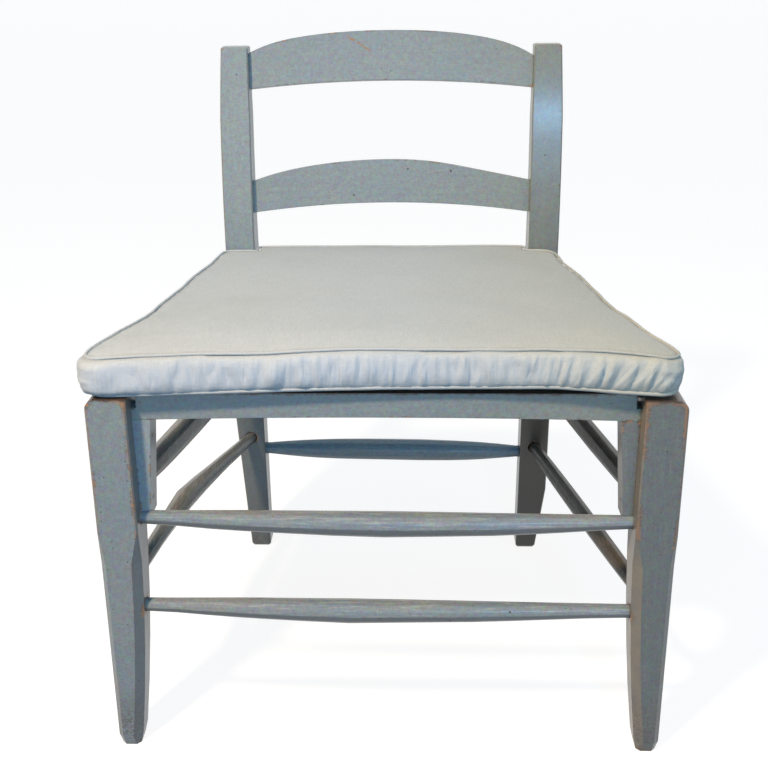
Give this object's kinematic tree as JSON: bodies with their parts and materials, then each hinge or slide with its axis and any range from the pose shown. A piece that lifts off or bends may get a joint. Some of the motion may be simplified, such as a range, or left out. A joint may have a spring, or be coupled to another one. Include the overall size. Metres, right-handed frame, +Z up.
{
  "type": "side chair",
  "caption": "Low ladder-back side chair in worn grey-blue paint, with arched back slats, shaved spindle stretchers and a loose, piped box cushion on a boarded seat.",
  "frame": {"origin": "on the floor, under the middle of the chair's bounding box", "axes": "+Z up, front of the seat towards -Y, +X to the right of a person facing the chair"},
  "size_m": [0.5328, 0.4418, 0.6549],
  "materials": {
    "paint": "satin grey-blue paint, worn to tan wood at the edges",
    "bare_wood": "unpainted, aged",
    "nail_steel": "dull and darkened",
    "cover": "matt off-white cotton",
    "piping": "matt off-white cotton cord"
  },
  "bodies": {
    "frame": {"front_leg_left": "paint", "rear_post_left": "paint", "rail_prop_left": "paint", "upper_side_stretcher_left": "paint", "lower_side_stretcher_left": "paint", "front_leg_right": "paint", "rear_post_right": "paint", "rail_prop_right": "paint", "upper_side_stretcher_right": "paint", "lower_side_stretcher_right": "paint", "front_seat_rail": "paint", "upper_front_stretcher": "paint", "lower_front_stretcher": "paint", "rear_stretcher": "paint", "crest_slat": "paint", "lower_back_slat": "paint", "rear_seat_rail": "bare_wood", "side_seat_rail_left": "bare_wood", "side_seat_rail_right": "bare_wood", "seat_board_front": "bare_wood", "seat_board_middle": "bare_wood", "seat_board_rear": "bare_wood", "seat_board_nails": "nail_steel", "rail_prop_nails": "nail_steel"},
    "cushion": {"seat_cushion": "cover", "cushion_top_piping": "piping", "cushion_bottom_piping": "piping"}
  },
  "joints": [
    {"name": "cushion_lift", "type": "slide", "parent": "frame", "child": "cushion", "axis": [0, -0.3419, 0.9397], "range_m": [0, 0.3]}
  ]
}
